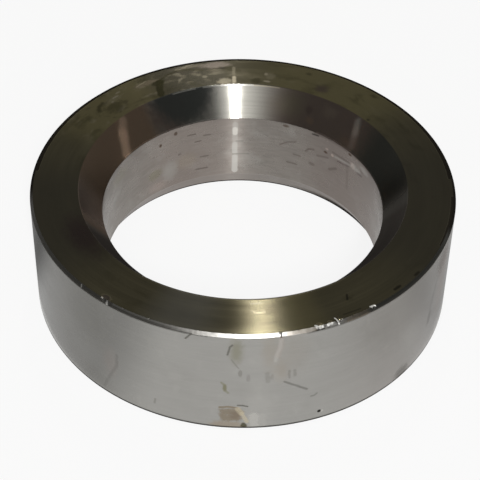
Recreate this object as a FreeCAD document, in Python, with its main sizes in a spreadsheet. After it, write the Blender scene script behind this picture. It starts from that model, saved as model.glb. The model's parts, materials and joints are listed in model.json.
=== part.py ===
"""Seal wear ring: one turned and ground steel ring that is pressed on a spindle.

The ring stands on its lower face with its axis along +Z, and the origin is the
centre of that face. The lip of an oil seal runs on the ground outer face. The
bore is the press fit, with a deep conical lead-in at the top, which clears the
fillet of the spindle's shoulder, and a short one below, which starts the
pressing. The outer rim is chamfered above and rounded below, and it carries
the knocks of handling. Sizes are in millimetres and degrees.
"""

import FreeCAD, Part
import Sketcher
import math
import os

doc = FreeCAD.newDocument("SealWearRing")

# Driving sizes, one cell each
SIZES = [
    ("outer_diameter", 150.0, "ground face that the seal lip runs on"),
    ("bore_diameter", 100.0, "press fit on the spindle"),
    ("ring_height", 45.0, "from face to face"),
    ("lead_in_mouth_diameter", 116.0, "upper lead-in, at the top face"),
    ("lead_in_depth", 10.25, "upper lead-in, along the axis"),
    ("starter_mouth_diameter", 108.6, "lower lead-in, at the bottom face"),
    ("starter_depth", 7.5, "lower lead-in, along the axis"),
    ("rim_chamfer", 1.0, "outer edge of the top face, each leg"),
    ("rim_radius", 1.0, "outer edge of the bottom face"),
    ("edge_break", 0.3, "radius on the edges of the bore and its lead-ins"),
    ("knock_slope", 60.0, "direction of the knocks, up from the radius"),
]

# Knocks on the upper rim: place round the ring, radius of the hollow, and its depth below the rim's edge
KNOCKS = [
    ("knock_left", 233.2, 2.4, 0.55),
    ("knock_front_a", 290.2, 1.6, 0.5),
    ("knock_front_b", 293.1, 1.1, 0.35),
    ("knock_front_c", 295.4, 1.5, 0.45),
    ("knock_right", 305.8, 1.6, 0.4),
]
KNOCK_CELLS = [
    ("azimuth", "degrees round the axis from +X"),
    ("radius", "radius of the hollow"),
    ("depth", "how far the hollow goes in"),
]


def fill_sheet():
    """Write every driving size to the spreadsheet, with its alias and a note."""
    sheet = doc.addObject("Spreadsheet::Sheet", "Sizes")
    rows = list(SIZES)
    for name, *values in KNOCKS:
        for (cell, note), value in zip(KNOCK_CELLS, values):
            rows.append((f"{name}_{cell}", value, note))
    for number, (alias, value, note) in enumerate(rows, start=1):
        sheet.set(f"A{number}", alias)
        sheet.set(f"B{number}", str(value))
        sheet.set(f"C{number}", note)
        sheet.setAlias(f"B{number}", alias)
    doc.recompute()
    return sheet


def origin_plane(body, role):
    """Return one of the body's own origin planes, such as XZ_Plane."""
    return next(item for item in body.Origin.OriginFeatures if item.Role == role)


def section_points(size):
    """Return the corners of half the ring's section as (radius, height), counter-clockwise."""
    outer = size.outer_diameter / 2
    bore = size.bore_diameter / 2
    return [
        FreeCAD.Vector(size.starter_mouth_diameter / 2, 0, 0),
        FreeCAD.Vector(outer, 0, 0),
        FreeCAD.Vector(outer, size.ring_height, 0),
        FreeCAD.Vector(size.lead_in_mouth_diameter / 2, size.ring_height, 0),
        FreeCAD.Vector(bore, size.ring_height - size.lead_in_depth, 0),
        FreeCAD.Vector(bore, size.starter_depth, 0),
    ]


def bind_distance(sketch, kind, start, end, name, formula):
    """Dimension two of the sketch's points as drawn, and bind the dimension to the sheet."""
    gap = sketch.getPoint(*end) - sketch.getPoint(*start)
    drawn = gap.x if kind == "DistanceX" else gap.y
    index = sketch.addConstraint(Sketcher.Constraint(kind, *start, *end, drawn))
    sketch.renameConstraint(index, name)
    sketch.setExpression(f"Constraints.{name}", formula)


def draw_section(body, size):
    """Draw the section in the XZ plane and bind its dimensions to the sheet."""
    sketch = body.newObject("Sketcher::SketchObject", "Section")
    sketch.AttachmentSupport = [(origin_plane(body, "XZ_Plane"), "")]
    sketch.MapMode = "FlatFace"
    corners = section_points(size)
    lines = []
    for start, end in zip(corners, corners[1:] + corners[:1]):
        lines.append(sketch.addGeometry(Part.LineSegment(start, end), False))
    bottom, outside, top, lead_in, bore, starter = lines
    for line, following in zip(lines, lines[1:] + lines[:1]):
        sketch.addConstraint(Sketcher.Constraint("Coincident", line, 2, following, 1))
    for line in (bottom, top):
        sketch.addConstraint(Sketcher.Constraint("Horizontal", line))
    for line in (outside, bore):
        sketch.addConstraint(Sketcher.Constraint("Vertical", line))
    sketch.addConstraint(Sketcher.Constraint("PointOnObject", bottom, 1, -1))

    centre = (-1, 1)
    distances = [
        ("DistanceX", centre, (outside, 1), "outer_radius", "Sizes.outer_diameter / 2"),
        ("DistanceX", centre, (bore, 1), "bore_radius", "Sizes.bore_diameter / 2"),
        ("DistanceX", centre, (lead_in, 1), "lead_in_mouth", "Sizes.lead_in_mouth_diameter / 2"),
        ("DistanceX", centre, (bottom, 1), "starter_mouth", "Sizes.starter_mouth_diameter / 2"),
        ("DistanceY", (outside, 1), (outside, 2), "height", "Sizes.ring_height"),
        ("DistanceY", (lead_in, 2), (lead_in, 1), "lead_in_drop", "Sizes.lead_in_depth"),
        ("DistanceY", (starter, 2), (starter, 1), "starter_rise", "Sizes.starter_depth"),
    ]
    for kind, start, end, name, formula in distances:
        bind_distance(sketch, kind, start, end, name, formula)
    return sketch


def turn_section(body, sketch):
    """Revolve the section a full turn about the ring's axis."""
    ring = body.newObject("PartDesign::Revolution", "TurnedRing")
    ring.Profile = sketch
    ring.ReferenceAxis = (sketch, ["V_Axis"])
    ring.Angle = 360.0
    doc.recompute()
    return ring


def circles_at(feature, spots):
    """Name the feature's circular edges that have the given (radius, height) pairs."""
    names = []
    for radius, height in spots:
        for number, edge in enumerate(feature.Shape.Edges, start=1):
            curve = edge.Curve
            if not isinstance(curve, Part.Circle):
                continue
            if math.isclose(curve.Radius, radius, abs_tol=1e-4) and math.isclose(
                    curve.Center.z, height, abs_tol=1e-4):
                names.append(f"Edge{number}")
    return names


def dress_edges(body, ring, size):
    """Chamfer the upper outer edge, round the lower one and break the bore's edges."""
    chamfer = body.newObject("PartDesign::Chamfer", "RimChamfer")
    chamfer.Base = (ring, circles_at(ring, [(size.outer_diameter / 2, size.ring_height)]))
    chamfer.setExpression("Size", "Sizes.rim_chamfer")
    doc.recompute()

    rounding = body.newObject("PartDesign::Fillet", "RimRadius")
    rounding.Base = (chamfer, circles_at(chamfer, [(size.outer_diameter / 2, 0.0)]))
    rounding.setExpression("Radius", "Sizes.rim_radius")
    doc.recompute()

    bore_edges = [
        (size.lead_in_mouth_diameter / 2, size.ring_height),
        (size.bore_diameter / 2, size.ring_height - size.lead_in_depth),
        (size.bore_diameter / 2, size.starter_depth),
        (size.starter_mouth_diameter / 2, 0.0),
    ]
    breaks = body.newObject("PartDesign::Fillet", "EdgeBreaks")
    breaks.Base = (rounding, circles_at(rounding, bore_edges))
    breaks.setExpression("Radius", "Sizes.edge_break")
    doc.recompute()


def knock_rim(body):
    """Sink each knock into the rim's upper edge, as a small round hollow."""
    edge_radius = "Sizes.outer_diameter / 2 - Sizes.rim_chamfer"
    for name, *_ in KNOCKS:
        hollow = body.newObject("PartDesign::SubtractiveSphere", name)
        cell = f"Sizes.{name}"
        reach = f"({cell}_radius - {cell}_depth)"
        out = f"({edge_radius} + {reach} * cos(Sizes.knock_slope * 1deg))"
        up = f"{reach} * sin(Sizes.knock_slope * 1deg)"
        hollow.setExpression("Radius", f"{cell}_radius")
        hollow.setExpression("Placement.Base.x", f"{out} * cos({cell}_azimuth * 1deg)")
        hollow.setExpression("Placement.Base.y", f"{out} * sin({cell}_azimuth * 1deg)")
        hollow.setExpression("Placement.Base.z", f"Sizes.ring_height + {up}")
        doc.recompute()


def make_ring(size):
    """Build the wear ring and return its body."""
    body = doc.addObject("PartDesign::Body", "WearRing")
    body.Label = "wear_ring"
    body.Placement = FreeCAD.Placement()
    sketch = draw_section(body, size)
    ring = turn_section(body, sketch)
    dress_edges(body, ring, size)
    knock_rim(body)
    return body


def check_model(bodies):
    """Stop if any feature failed or any piece isn't one valid solid."""
    for item in doc.Objects:
        if "Invalid" in item.State or "Error" in item.State:
            raise RuntimeError(f"{item.Name} failed: {item.State}")
    for body in bodies:
        shape = body.Shape
        if shape.isNull() or not shape.isValid() or len(shape.Solids) != 1:
            raise RuntimeError(f"{body.Label} isn't one valid solid")


def write_parts(bodies):
    """Write each piece to its own STEP file, named by its label."""
    os.makedirs("parts", exist_ok=True)
    for body in bodies:
        body.Shape.exportStep(f"parts/{body.Label}.step")
        print(f"{body.Label}: {body.Shape.Volume / 1000:.2f} cm3, {len(body.Shape.Faces)} faces")


sizes = fill_sheet()
pieces = [make_ring(sizes)]
doc.recompute()
check_model(pieces)
write_parts(pieces)
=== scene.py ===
"""Looks of a seal wear ring: one turned and ground steel ring on a pale studio floor.

The ring is one piece. Its section is a closed line of straight runs and rounded
corners, carried once round the axis. Each surface has the finish of its own
machining: a ground outer face, a fine-turned top face, a polished lead-in, a
smeared bore and a bright, knocked rim. Azimuths are in degrees round the axis
from +X, so the side that faces the camera is at 270. Depths are in millimetres
below the top face.
"""

import json
import logging
import math
from dataclasses import dataclass
from enum import Enum

import bpy
import numpy as np
from mathutils import Matrix, Vector


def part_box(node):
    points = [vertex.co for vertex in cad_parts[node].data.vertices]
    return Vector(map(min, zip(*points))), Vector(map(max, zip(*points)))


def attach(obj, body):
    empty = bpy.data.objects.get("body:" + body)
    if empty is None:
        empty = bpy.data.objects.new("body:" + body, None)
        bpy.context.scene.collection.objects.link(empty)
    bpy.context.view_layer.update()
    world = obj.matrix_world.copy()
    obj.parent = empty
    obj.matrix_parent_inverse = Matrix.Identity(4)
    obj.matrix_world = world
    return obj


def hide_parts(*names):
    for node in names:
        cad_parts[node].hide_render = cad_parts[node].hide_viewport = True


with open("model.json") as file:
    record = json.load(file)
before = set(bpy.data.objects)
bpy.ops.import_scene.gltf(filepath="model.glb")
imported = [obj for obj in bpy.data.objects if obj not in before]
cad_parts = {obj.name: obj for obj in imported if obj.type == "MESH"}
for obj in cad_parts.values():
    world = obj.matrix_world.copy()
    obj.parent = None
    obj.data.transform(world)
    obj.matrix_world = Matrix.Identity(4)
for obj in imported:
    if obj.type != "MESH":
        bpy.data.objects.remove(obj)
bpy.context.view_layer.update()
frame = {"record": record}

LOG = logging.getLogger("wear_ring")
NODE = "wear_ring"
UV_MAP = "round_and_along"
MM = 0.001
HALF_TURN, FULL_TURN = 180.0, 360.0
LOWEST, HIGHEST = (Vector(corner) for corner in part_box(NODE))
FLOOR_GAP = 0.1 * MM
FLOOR_LEVEL = LOWEST.z - FLOOR_GAP
HEIGHT = HIGHEST.z - LOWEST.z
OUTER_RADIUS = (HIGHEST.x - LOWEST.x) / 2
MOUNTS = {mount["name"]: mount for mount in frame["record"]["mounts"]}
BORE_RADIUS = MOUNTS["bore"]["dims"]["r_mm"] * MM

Colour = tuple[float, float, float]
Value = bpy.types.NodeSocket | float | Colour


class Zone(Enum):
    """The ring's surfaces, each with its own finish. The value is the material's place on the mesh."""

    UNDERSIDE = 0
    OUTER_FACE = 1
    RIM = 2
    TOP_FACE = 3
    LEAD_IN = 4
    BORE = 5


class Crowd(Enum):
    """Which end of a straight run its rows of vertices crowd towards."""

    EVEN = "even"
    START = "start"
    END = "end"
    BOTH = "both"


@dataclass(frozen=True)
class Corner:
    """A rounded corner of the section and the straight run that follows it.

    Attributes:
        radius: distance of the sharp corner from the axis, in metres.
        height: height of the sharp corner above the floor, in metres.
        rounding: radius that breaks the corner, in metres.
        arc_rows: rows of faces round the broken corner.
        arc_zone: zone of the broken corner.
        run_rows: rows of faces along the run after it.
        run_zone: zone of that run.
        crowd: end of the run that its rows crowd towards.
    """

    radius: float
    height: float
    rounding: float
    arc_rows: int
    arc_zone: Zone
    run_rows: int
    run_zone: Zone
    crowd: Crowd = Crowd.EVEN


@dataclass(frozen=True)
class Knock:
    """A small round hollow on the rim.

    Attributes:
        azimuth: place round the ring, in degrees.
        radius: radius of the hollow, in millimetres.
        depth: how far it goes in below the rim's upper edge, in millimetres.
    """

    azimuth: float
    radius: float
    depth: float


@dataclass(frozen=True)
class Section:
    """The closed line of the ring's section, as arrays with one entry for each row of vertices."""

    radius: np.ndarray
    height: np.ndarray
    normal_out: np.ndarray
    normal_up: np.ndarray
    zone: np.ndarray


def add_object(name: str, data: bpy.types.ID) -> bpy.types.Object:
    """Put a new object with this data in the scene and return it."""
    item = bpy.data.objects.new(name, data)
    bpy.context.scene.collection.objects.link(item)
    return item


def spread(rows: int, crowd: Crowd, strength: float = 1.7) -> np.ndarray:
    """Return shares from 0 to 1 along a run, crowded towards one end, both or neither.

    A plain share t becomes t to the power of the strength, so that steps are short near the start.

    Args:
        rows: number of steps.
        crowd: the end to crowd towards.
        strength: power of the crowding.

    Returns:
        rows + 1 shares, the first 0 and the last 1.
    """
    share = np.linspace(0.0, 1.0, rows + 1)
    if crowd is Crowd.START:
        return share ** strength
    if crowd is Crowd.END:
        return 1.0 - (1.0 - share) ** strength
    if crowd is Crowd.BOTH:
        near, far = (2 * share) ** strength / 2, 1 - (2 - 2 * share).clip(0) ** strength / 2
        return np.where(share < 0.5, near, far)
    return share


@dataclass
class TurnedRing:
    """The ring itself: sizes, section, mesh and materials.

    Attributes:
        outer_radius: radius of the ground outer face, in metres like the lengths after it.
        bore_radius: radius of the bore.
        height: height from face to face.
        lead_in_mouth_radius: radius of the upper lead-in at the top face.
        lead_in_depth: depth of the upper lead-in along the axis.
        starter_mouth_radius: radius of the lower lead-in at the bottom face.
        starter_depth: depth of the lower lead-in along the axis.
        rim_chamfer: chamfer on the outer edge of the top face, each leg.
        rim_radius: radius on the outer edge of the bottom face.
        edge_break: radius on the edges of the bore and its lead-ins.
        chamfer_edge: radius on the two edges of the chamfer.
        columns: columns of vertices round the ring.
        fine_steps: steps of the sum that places the columns.
        crowding: density of columns that a knock adds, where the plain density is 1.
        crowd_reach: angle from a knock at which that has faded to about a third, in degrees.
        knock_slope: direction of the knocks, up from the radius, in radians.
        knocks: the hollows that the solid has too, by azimuth, radius and depth.
        nicks: shallow ones that only the visual model has.
    """

    outer_radius: float = OUTER_RADIUS
    bore_radius: float = BORE_RADIUS
    height: float = HEIGHT
    lead_in_mouth_radius: float = 58.0 * MM
    lead_in_depth: float = 10.25 * MM
    starter_mouth_radius: float = 54.3 * MM
    starter_depth: float = 7.5 * MM
    rim_chamfer: float = 1.0 * MM
    rim_radius: float = 1.0 * MM
    edge_break: float = 0.3 * MM
    chamfer_edge: float = 0.12 * MM
    columns: int = 1040
    fine_steps: int = 36000
    crowding: float = 1.6
    crowd_reach: float = 1.6
    knock_slope: float = math.radians(60.0)
    knocks: tuple[Knock, ...] = (
        Knock(233.2, 2.4, 0.55),
        Knock(290.2, 1.6, 0.5),
        Knock(293.1, 1.1, 0.35),
        Knock(295.4, 1.5, 0.45),
        Knock(305.8, 1.6, 0.4),
    )
    nicks: tuple[Knock, ...] = (
        Knock(226.4, 1.3, 0.12),
        Knock(239.2, 1.6, 0.14),
        Knock(246.8, 1.2, 0.10),
        Knock(280.1, 0.9, 0.22),
        Knock(284.9, 1.1, 0.10),
        Knock(299.6, 1.2, 0.16),
        Knock(312.4, 1.4, 0.12),
    )

    def corners(self) -> list[Corner]:
        """Return the section's corners, counter-clockwise with the radius to the right and height up."""
        top = self.height
        outer = self.outer_radius
        return [
            Corner(self.starter_mouth_radius, 0.0, self.edge_break, 3, Zone.BORE, 5, Zone.UNDERSIDE),
            Corner(outer, 0.0, self.rim_radius, 6, Zone.OUTER_FACE, 22, Zone.OUTER_FACE, Crowd.END),
            Corner(outer, top - self.rim_chamfer, self.chamfer_edge, 2, Zone.RIM, 6, Zone.RIM),
            Corner(outer - self.rim_chamfer, top, self.chamfer_edge, 2, Zone.RIM, 16, Zone.TOP_FACE,
                   Crowd.START),
            Corner(self.lead_in_mouth_radius, top, self.edge_break, 4, Zone.LEAD_IN, 8, Zone.LEAD_IN),
            Corner(self.bore_radius, top - self.lead_in_depth, self.edge_break, 3, Zone.BORE, 12,
                   Zone.BORE),
            Corner(self.bore_radius, self.starter_depth, self.edge_break, 2, Zone.BORE, 4, Zone.BORE),
        ]

    def section(self) -> Section:
        """Work out the section's rows.

        Each corner is an arc that touches its two runs: its centre lies inside the corner, and its
        points are the centre plus the rounding times a normal that turns from one run's to the other's.
        Each run is straight between the ends of its two arcs.

        Returns:
            The rows of the closed section, without a repeat of the first.
        """
        corners = self.corners()
        sharp = np.array([(corner.radius, corner.height) for corner in corners])
        along = np.roll(sharp, -1, axis=0) - sharp
        along /= np.linalg.norm(along, axis=1)[:, None]
        normal = np.stack([along[:, 1], -along[:, 0]], axis=1)
        arcs, arc_normals = [], []
        for number, corner in enumerate(corners):
            before, after = normal[number - 1], normal[number]
            start = math.atan2(before[1], before[0])
            turn = math.atan2(before[0] * after[1] - before[1] * after[0], float(before @ after))
            angle = start + turn * np.linspace(0.0, 1.0, corner.arc_rows + 1)
            turned = np.stack([np.cos(angle), np.sin(angle)], axis=1)
            middle = (before + after) / np.linalg.norm(before + after)
            centre = sharp[number] - middle * corner.rounding / math.cos(turn / 2)
            arcs.append(centre + corner.rounding * turned)
            arc_normals.append(turned)
        points, normals, zones = [], [], []
        for number, corner in enumerate(corners):
            end = arcs[(number + 1) % len(arcs)][0]
            share = spread(corner.run_rows, corner.crowd)[1:-1, None]
            run = arcs[number][-1] * (1 - share) + end * share
            points += [arcs[number], run]
            normals += [arc_normals[number], np.repeat(normal[number][None], len(run), axis=0)]
            zones += [corner.arc_zone.value] * corner.arc_rows + [corner.run_zone.value] * corner.run_rows
        place, facing = np.concatenate(points), np.concatenate(normals)
        return Section(place[:, 0], place[:, 1], facing[:, 0], facing[:, 1], np.array(zones))

    def azimuths(self) -> np.ndarray:
        """Return the columns' azimuths in radians, closer together where the rim is knocked.

        The density of columns is 1 plus a bell round each knock, and the columns stand at equal
        steps of its running sum.

        Returns:
            One azimuth for each column.
        """
        fine = np.linspace(0.0, FULL_TURN, self.fine_steps + 1)
        density = np.ones_like(fine)
        for knock in self.knocks + self.nicks:
            density += self.crowding * np.exp(-((fine - knock.azimuth) / self.crowd_reach) ** 2)
        running = np.concatenate([[0.0], np.cumsum((density[1:] + density[:-1]) / 2)])
        steps = np.arange(self.columns) / self.columns * running[-1]
        return np.radians(np.interp(steps, running, fine))

    def hollow(self, place: np.ndarray, facing: np.ndarray) -> None:
        """Sink the knocks into the grid.

        A vertex inside a knock's ball moves straight away from the ball's centre to its surface,
        and its normal then points back at the centre.

        Args:
            place: the grid's points, changed in place.
            facing: the grid's normals, changed in place.
        """
        edge_radius = self.outer_radius - self.rim_chamfer
        for knock in self.knocks + self.nicks:
            azimuth = math.radians(knock.azimuth)
            reach = (knock.radius - knock.depth) * MM
            out = edge_radius + reach * math.cos(self.knock_slope)
            up = self.height + reach * math.sin(self.knock_slope)
            centre = np.array([out * math.cos(azimuth), out * math.sin(azimuth), up])
            offset = place - centre
            distance = np.linalg.norm(offset, axis=-1, keepdims=True)
            inside = distance < knock.radius * MM
            away = offset / distance
            place[...] = np.where(inside, centre + away * knock.radius * MM, place)
            facing[...] = np.where(inside, -away, facing)

    def mesh(self) -> bpy.types.Mesh:
        """Carry the section round the axis and return it as a closed mesh with its own UV map.

        A point is (radius cos azimuth, radius sin azimuth, height). The UV map runs round the ring
        along U and along the section in V.

        Returns:
            The mesh, with smooth faces, exact normals and one material place for each zone.
        """
        section, azimuth = self.section(), self.azimuths()
        rows, columns = len(section.radius), len(azimuth)
        cosine, sine = np.cos(azimuth)[None, :], np.sin(azimuth)[None, :]
        ones = np.ones_like(cosine)
        out, up = section.radius[:, None], section.height[:, None]
        place = np.stack([out * cosine, out * sine, up * ones], axis=-1)
        normal_out, normal_up = section.normal_out[:, None], section.normal_up[:, None]
        facing = np.stack([normal_out * cosine, normal_out * sine, normal_up * ones], axis=-1)
        self.hollow(place, facing)

        row, column = (grid.ravel() for grid in np.mgrid[0:rows, 0:columns])
        next_row, next_column = (row + 1) % rows, (column + 1) % columns
        quads = np.stack([row * columns + column, row * columns + next_column,
                          next_row * columns + next_column, next_row * columns + column], axis=1)
        mesh = bpy.data.meshes.new("turned_ring")
        mesh.from_pydata(place.reshape(-1, 3).tolist(), [], quads.tolist())
        mesh.polygons.foreach_set("material_index", np.repeat(section.zone, columns).astype(np.int32))
        mesh.polygons.foreach_set("use_smooth", np.ones(len(quads), dtype=bool))

        step = np.hypot(np.diff(section.radius, append=section.radius[0]),
                        np.diff(section.height, append=section.height[0]))
        share = np.concatenate([[0.0], np.cumsum(step)]) / step.sum()
        round_share = np.append(azimuth, 2 * math.pi) / (2 * math.pi)
        here, there = round_share[column], round_share[column + 1]
        low, high = share[row], share[row + 1]
        u = np.stack([here, there, there, here], axis=1)
        v = np.stack([low, low, high, high], axis=1)
        layer = mesh.uv_layers.new(name=UV_MAP)
        layer.data.foreach_set("uv", np.stack([u, v], axis=-1).astype(np.float32).ravel())
        mesh.validate()
        mesh.normals_split_custom_set_from_vertices(facing.reshape(-1, 3).tolist())
        mesh.update()
        return mesh

    def build(self) -> bpy.types.Object:
        """Make the ring's object, dress it and tie it to the frame.

        Returns:
            The finished piece.
        """
        ring = add_object("turned_ring", self.mesh())
        for zone in Zone:
            ring.data.materials.append(FINISHES[zone].material())
        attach(ring, "root")
        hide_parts(NODE)
        LOG.info("%s: %d vertices, %d faces", ring.name, len(ring.data.vertices), len(ring.data.polygons))
        return ring


class Graph:
    """Places nodes in one node tree and links them."""

    def __init__(self, tree: bpy.types.NodeTree) -> None:
        """Keep the tree to draw in."""
        self.tree = tree

    def node(self, kind: str, **settings: object) -> bpy.types.Node:
        """Add a node and set its properties.

        Args:
            kind: the node's type name, without the word ShaderNode.
            **settings: properties of the node.

        Returns:
            The new node.
        """
        node = self.tree.nodes.new(f"ShaderNode{kind}")
        for name, value in settings.items():
            setattr(node, name, value)
        return node

    def feed(self, socket: bpy.types.NodeSocket, value: Value) -> None:
        """Link a socket to another, or set its own value."""
        if isinstance(value, bpy.types.NodeSocket):
            self.tree.links.new(value, socket)
        elif socket.type == "RGBA":
            socket.default_value = (*value, 1.0)
        else:
            socket.default_value = value

    def math(self, operation: str, *values: Value) -> bpy.types.NodeSocket:
        """Add a Math node for the operation and return its result."""
        node = self.node("Math", operation=operation)
        for socket, value in zip(node.inputs, values):
            self.feed(socket, value)
        return node.outputs[0]

    def products(self, first: Value, by_first: Value, second: Value,
                 by_second: Value) -> bpy.types.NodeSocket:
        """Return the sum of two products, each of a value and its factor."""
        return self.math("ADD", self.math("MULTIPLY", first, by_first),
                         self.math("MULTIPLY", second, by_second))

    def length(self, x: Value, y: Value) -> bpy.types.NodeSocket:
        """Return the length of (x, y), the root of the sum of their squares."""
        return self.math("SQRT", self.products(x, x, y, y))

    def turn(self, start: Value, end: Value) -> bpy.types.NodeSocket:
        """Return the turn from one azimuth to another, within half a turn either way."""
        return self.math("WRAP", self.math("SUBTRACT", end, start), HALF_TURN, -HALF_TURN)

    def mix(self, amount: Value, first: Value, second: Value, blend: str = "MIX") -> bpy.types.NodeSocket:
        """Mix two colours by an amount from 0 to 1 and return the colour."""
        node = self.node("Mix", data_type="RGBA", blend_type=blend)
        factor, colours = node.inputs[0], node.inputs[6:8]
        for socket, value in zip((factor, *colours), (amount, first, second)):
            self.feed(socket, value)
        return node.outputs[2]

    def blend(self, amount: Value, first: Value, second: Value) -> bpy.types.NodeSocket:
        """Mix two numbers by an amount from 0 to 1 and return the number."""
        node = self.node("Mix", data_type="FLOAT")
        factor, numbers = node.inputs[0], node.inputs[2:4]
        for socket, value in zip((factor, *numbers), (amount, first, second)):
            self.feed(socket, value)
        return node.outputs[0]

    def between(self, value: Value, low: Value, high: Value, to_low: Value = 0.0,
                to_high: Value = 1.0) -> bpy.types.NodeSocket:
        """Carry a value smoothly from one range to another and return it."""
        node = self.node("MapRange", interpolation_type="SMOOTHSTEP")
        for socket, number in zip(node.inputs, (value, low, high, to_low, to_high)):
            self.feed(socket, number)
        return node.outputs[0]

    def combine(self, x: Value, y: Value, z: Value) -> bpy.types.NodeSocket:
        """Combine three numbers to a vector and return it."""
        node = self.node("CombineXYZ")
        for socket, value in zip(node.inputs, (x, y, z)):
            self.feed(socket, value)
        return node.outputs[0]

    def noise(self, vector: Value, detail: float, roughness: float,
              distortion: float = 0.0) -> bpy.types.NodeSocket:
        """Add a noise texture and return its value, about 0.5 on average."""
        node = self.node("TexNoise")
        self.feed(node.inputs["Vector"], vector)
        node.inputs["Scale"].default_value = 1.0
        node.inputs["Detail"].default_value = detail
        node.inputs["Roughness"].default_value = roughness
        node.inputs["Distortion"].default_value = distortion
        return node.outputs[0]

    def place(self, group: bpy.types.NodeTree, **values: Value) -> bpy.types.Node:
        """Add a shared group and feed its inputs, whose names are the keywords with spaces.

        Args:
            group: the shared node group.
            **values: what feeds each input.

        Returns:
            The group's node.
        """
        node = self.node("Group", node_tree=group)
        for name, value in values.items():
            self.feed(node.inputs[name.replace("_", " ")], value)
        return node

    def end(self, shader: bpy.types.NodeSocket, kind: str = "OutputMaterial") -> None:
        """End the tree with the output node that takes the shader."""
        self.feed(self.node(kind).inputs["Surface"], shader)


def empty_graph(owner: bpy.types.Material | bpy.types.World) -> Graph:
    """Let a material or a world use nodes, and return its graph without any."""
    owner.use_nodes = True
    owner.node_tree.nodes.clear()
    return Graph(owner.node_tree)


def shared_group(name: str, inputs: dict[str, str], outputs: dict[str, str]) -> tuple[Graph, dict, dict]:
    """Start a node group with named sockets.

    Args:
        name: the group's name.
        inputs: socket types by input name, such as Float, Vector or Color.
        outputs: the same for the outputs.

    Returns:
        The group's graph, its input sockets by name and its output sockets by name.
    """
    tree = bpy.data.node_groups.new(name, "ShaderNodeTree")
    for side, sockets in (("INPUT", inputs), ("OUTPUT", outputs)):
        for label, kind in sockets.items():
            tree.interface.new_socket(label, in_out=side, socket_type=f"NodeSocket{kind}")
    source, sink = tree.nodes.new("NodeGroupInput"), tree.nodes.new("NodeGroupOutput")
    given = {label: source.outputs[label] for label in inputs}
    wanted = {label: sink.inputs[label] for label in outputs}
    return Graph(tree), given, wanted


def ring_place_group() -> bpy.types.NodeTree:
    """Make the group that turns object coordinates into the place on the ring.

    The azimuth is the angle of (x, y) in degrees from 0 to 360, the radius is the length of (x, y)
    and the depth is the ring's height less z, both in millimetres. Round is the point of the unit
    circle at that azimuth, for patterns that close on themselves.

    Returns:
        The group.
    """
    graph, given, wanted = shared_group(
        "ring_place", {"Object": "Vector"},
        {"Azimuth": "Float", "Radius": "Float", "Depth": "Float", "Round X": "Float", "Round Y": "Float"})
    parts = graph.node("SeparateXYZ")
    graph.feed(parts.inputs[0], given["Object"])
    x, y, z = parts.outputs
    angle = graph.math("DEGREES", graph.math("ARCTAN2", y, x))
    length = graph.length(x, y)
    graph.feed(wanted["Azimuth"], graph.math("WRAP", angle, FULL_TURN, 0.0))
    graph.feed(wanted["Radius"], graph.math("DIVIDE", length, MM))
    graph.feed(wanted["Depth"], graph.math("DIVIDE", graph.math("SUBTRACT", HEIGHT, z), MM))
    graph.feed(wanted["Round X"], graph.math("DIVIDE", x, length))
    graph.feed(wanted["Round Y"], graph.math("DIVIDE", y, length))
    return graph.tree


def stretch_group() -> bpy.types.NodeTree:
    """Make the group that masks a stretch round the ring or along the section.

    The mask falls smoothly from 1 to 0 over the fade on both sides of the stretch's ends. The wrap
    at half a turn closes azimuths, and no length on the section comes near it.

    Returns:
        The group.
    """
    graph, given, wanted = shared_group(
        "stretch", {"Value": "Float", "Middle": "Float", "Half Width": "Float", "Fade": "Float"},
        {"Mask": "Float"})
    off = graph.turn(given["Middle"], given["Value"])
    inner = graph.math("SUBTRACT", given["Half Width"], given["Fade"])
    outer = graph.math("ADD", given["Half Width"], given["Fade"])
    graph.feed(wanted["Mask"], graph.between(graph.math("ABSOLUTE", off), inner, outer, 1.0, 0.0))
    return graph.tree


def ellipse_group() -> bpy.types.NodeTree:
    """Make the group that tells how far out a point is in an ellipse on the ring.

    The ellipse lies in azimuth and in the distance along the section. The two shares of its half
    sizes are squared and added, and the root of the sum is the reach, 1 on the outline. Lean slides
    the ellipse's azimuth by so many degrees for each millimetre along.

    Returns:
        The group.
    """
    graph, given, wanted = shared_group(
        "ellipse", {"Azimuth": "Float", "Along": "Float", "Middle": "Float", "Half Width": "Float",
                    "At": "Float", "Half Length": "Float", "Lean": "Float"}, {"Reach": "Float"})
    run = graph.math("SUBTRACT", given["Along"], given["At"])
    middle = graph.math("ADD", given["Middle"], graph.math("MULTIPLY", run, given["Lean"]))
    across = graph.math("DIVIDE", graph.turn(middle, given["Azimuth"]), given["Half Width"])
    down = graph.math("DIVIDE", run, given["Half Length"])
    graph.feed(wanted["Reach"], graph.length(across, down))
    return graph.tree


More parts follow.
